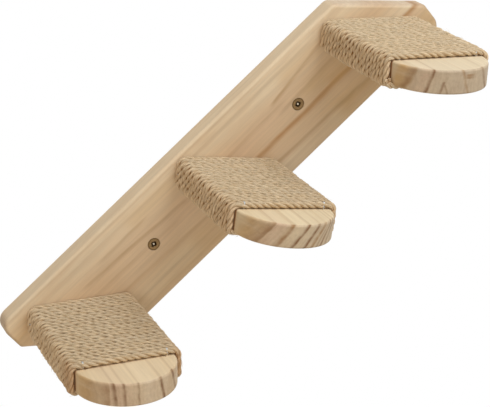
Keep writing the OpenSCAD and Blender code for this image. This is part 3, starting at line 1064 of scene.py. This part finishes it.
for index, label in enumerate(STEPS):
    front = [staple_at(index, side * STAPLE_X, STEP_T / 2 + ROPE_R, LAST_TURN, 0) for side in (-1, 1)]
    staples(f"{label}_front_staple_wires", front, CROWN_REACH[index], f"{label}_front_staples")
    ends = [staple_at(index, -SIDE_X, 0, FIRST_TURN, 90), staple_at(index, *UNDER_PLACE, 180)]
    staples(f"{label}_end_staple_wires", ends, CROWN_REACH[-1], f"{label}_end_staples")


# The board and the planks keep their solids and get their pine


def dress(node, material):
    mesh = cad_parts[node].data
    mesh.materials.clear()
    mesh.materials.append(material)


dress("backboard", board_pine)
for index, label in enumerate(STEPS):
    dress(f"{label}_step", step_pines[index])


# Floor, light and camera

FLOOR_HALF = 8.0
FLOOR_LEVEL = -0.60
FLOOR_COLOUR = (0.86, 0.84, 0.81)
# The floor is half white out to SHADOW_NEAR from its middle, and plain white from SHADOW_FAR on
SHADOW_NEAR = 0.3
SHADOW_FAR = 0.68
NEAR_WHITE = 0.5
WORLD_COLOUR = (1.0, 0.90, 0.77)
WORLD_STRENGTH = 0.37
# The photograph's viewpoint, found by fitting the board and steps: azimuth, elevation and roll in
# degrees, the target in millimetres, the distance, and the focal length and width in pixels
VIEW_ANGLES = (-24.12, 18.29, 5.53)
VIEW_TARGET = (28.62, 0, -34.72)
VIEW_DISTANCE = 1489.7 * MM
VIEW_FOCAL_PIXELS = 1656.3
VIEW_WIDTH_PIXELS = 490


def shown_white(tree, lighting, white_kind, amount=1.0):
    """Plain white to the camera, to mirrors and through glass; lighting for everything else."""
    rays = add_node(tree, "ShaderNodeLightPath").outputs
    seen = math_node(tree, "MAXIMUM", rays["Is Camera Ray"], rays["Is Glossy Ray"])
    seen = math_node(tree, "MAXIMUM", seen, rays["Is Transmission Ray"])
    seen = math_node(tree, "MULTIPLY", seen, amount)
    white = add_node(tree, white_kind, {"Color": (1, 1, 1, 1), "Strength": 1.0})
    inputs = {0: seen, 1: lighting.outputs[0], 2: white.outputs[0]}
    return add_node(tree, "ShaderNodeMixShader", inputs).outputs[0]


def build_floor():
    """A pale floor, plain white further out, that keeps the ladder's shadow and is open from below."""
    half, level = FLOOR_HALF, FLOOR_LEVEL
    mesh = bpy.data.meshes.new("studio_floor")
    corners = [(-half, -half, level), (half, -half, level), (half, half, level), (-half, half, level)]
    mesh.from_pydata(corners, [], [(0, 1, 2, 3)])
    material = bpy.data.materials.new("studio_floor_white")
    material.use_nodes = True
    tree = material.node_tree
    tree.nodes.clear()
    x, y, _ = split(tree, add_node(tree, "ShaderNodeTexCoord").outputs["Object"])
    distance = vector_math(tree, "LENGTH", combine(tree, x, y, 0.0))
    amount = map_range(tree, distance, SHADOW_NEAR, SHADOW_FAR, NEAR_WHITE, 1.0, smooth=True)
    pale = add_node(tree, "ShaderNodeBsdfDiffuse", {"Color": FLOOR_COLOUR})
    above = shown_white(tree, pale, "ShaderNodeEmission", amount)
    below = add_node(tree, "ShaderNodeBsdfTransparent").outputs[0]
    from_below = add_node(tree, "ShaderNodeNewGeometry").outputs["Backfacing"]
    shown = add_node(tree, "ShaderNodeMixShader", {0: from_below, 1: above, 2: below}).outputs[0]
    add_node(tree, "ShaderNodeOutputMaterial", {"Surface": shown})
    mesh.materials.append(material)
    floor = bpy.data.objects.new("studio_floor", mesh)
    bpy.context.scene.collection.objects.link(floor)


def build_world():
    world = bpy.data.worlds.new("studio")
    bpy.context.scene.world = world
    world.use_nodes = True
    tree = world.node_tree
    tree.nodes.clear()
    soft = add_node(tree, "ShaderNodeBackground", {"Color": WORLD_COLOUR, "Strength": WORLD_STRENGTH})
    add_node(tree, "ShaderNodeOutputWorld", {"Surface": shown_white(tree, soft, "ShaderNodeBackground")})


def add_softbox(name, place, target, size, power, colour):
    light = bpy.data.lights.new(name, "AREA")
    light.color = colour
    light.shape = "SQUARE"
    light.size = size
    light.energy = power
    lamp = bpy.data.objects.new(name, light)
    bpy.context.scene.collection.objects.link(lamp)
    lamp.location = place
    lamp.rotation_euler = (Vector(target) - Vector(place)).to_track_quat("-Z", "Y").to_euler()


def build_camera():
    """A camera at the photograph's viewpoint."""
    azimuth, elevation, roll = (math.radians(a) for a in VIEW_ANGLES)
    level = math.cos(elevation)
    back = np.array([math.sin(azimuth) * level, -math.cos(azimuth) * level, math.sin(elevation)])
    flat_right = unit(np.cross(-back, (0, 0, 1)))
    steep_up = np.cross(flat_right, -back)
    right = math.cos(roll) * flat_right + math.sin(roll) * steep_up
    up = math.cos(roll) * steep_up - math.sin(roll) * flat_right
    place = np.array(VIEW_TARGET) * MM + VIEW_DISTANCE * back
    data = bpy.data.cameras.new("photo_view")
    data.sensor_fit = "HORIZONTAL"
    data.sensor_width = 36
    data.lens = VIEW_FOCAL_PIXELS * data.sensor_width / VIEW_WIDTH_PIXELS
    camera = bpy.data.objects.new("photo_view", data)
    camera.matrix_world = Matrix([*zip(right, up, back, place), (0, 0, 0, 1)])
    bpy.context.scene.collection.objects.link(camera)
    bpy.context.scene.camera = camera


build_floor()
build_world()
add_softbox(
    "overhead_softbox",
    place=(0.42, -0.78, 1.68),
    target=(0, -0.08, 0),
    size=1.2,
    power=24.8,
    colour=(0.955, 1.0, 1.03),
)
add_softbox(
    "front_softbox",
    place=(-1.3, -2.1, 0.45),
    target=(0, 0, 0),
    size=1.4,
    power=8.8,
    colour=(1.0, 0.87, 0.70),
)
build_camera()
bpy.context.scene.view_settings.view_transform = "Standard"
